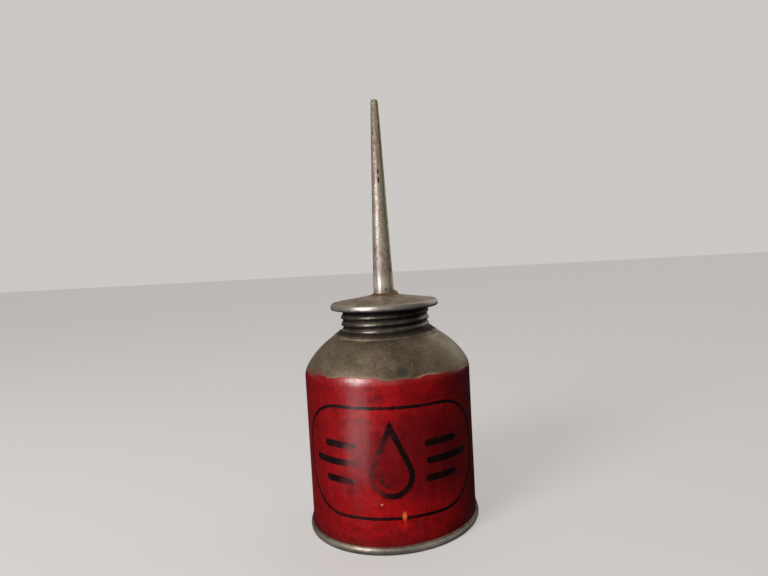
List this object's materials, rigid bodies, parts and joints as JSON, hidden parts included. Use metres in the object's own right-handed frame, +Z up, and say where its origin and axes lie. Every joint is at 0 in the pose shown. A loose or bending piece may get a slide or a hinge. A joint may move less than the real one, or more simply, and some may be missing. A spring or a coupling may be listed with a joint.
{
  "type": "hand oiler can",
  "caption": "Round enamelled hand oiler with a bare shoulder, a screw-on flanged cap carrying a long tapered spout, and a springy bottom that is pressed to squirt oil.",
  "frame": {"origin": "centre of the circle that the bottom rim stands on, level with the table", "axes": "+Z up along the can's axis, towards the spout's tip; -Y out of the printed front panel; +X to the right of it"},
  "size_m": [0.0658, 0.0658, 0.1615],
  "materials": {
    "red_enamel": "old gloss enamel on drawn steel, worn, with black line decoration; the shoulder is bare metal",
    "tinned_steel": "tinned steel sheet, dulled and brown with age",
    "spring_steel": "tinned spring steel with turned rings and finger wear",
    "spout_steel": "brighter tinned tube, pitted, with a soldered seam",
    "solder": "dull grey solder with rust at its edges",
    "gasket_leather": "oil-soaked dark leather"
  },
  "bodies": {
    "can": {"body_shell": "red_enamel", "neck_ring": "tinned_steel", "neck_solder": "solder", "bottom_rim": "tinned_steel", "bottom_solder": "solder", "bottom_diaphragm": "spring_steel"},
    "thumb_bottom": {"bottom_thumb_disc": "spring_steel"},
    "gasket": {"cap_gasket": "gasket_leather"},
    "cap": {"cap_collar": "tinned_steel", "collar_solder": "solder", "cap_flange": "tinned_steel", "spout_tube": "spout_steel", "spout_solder": "solder"}
  },
  "joints": [
    {"name": "bottom_press", "type": "slide", "parent": "can", "child": "thumb_bottom", "axis": [0, 0, 1], "range_m": [0, 0.004], "stiffness_N_per_m": 4000, "deforming": ["bottom_diaphragm"]},
    {"name": "cap_rise", "type": "slide", "parent": "can", "child": "gasket", "axis": [0, 0, 1], "range_m": [0, 0.008]},
    {"name": "cap_unscrew", "type": "hinge", "parent": "gasket", "child": "cap", "pos_m": [0, 0, 0.0839], "axis": [0, 0, 1], "range_deg": [0, 1080]}
  ],
  "couplings": [
    {"joint": "cap_rise", "follows": "cap_unscrew", "m_per_rad": 0.00042176}
  ]
}
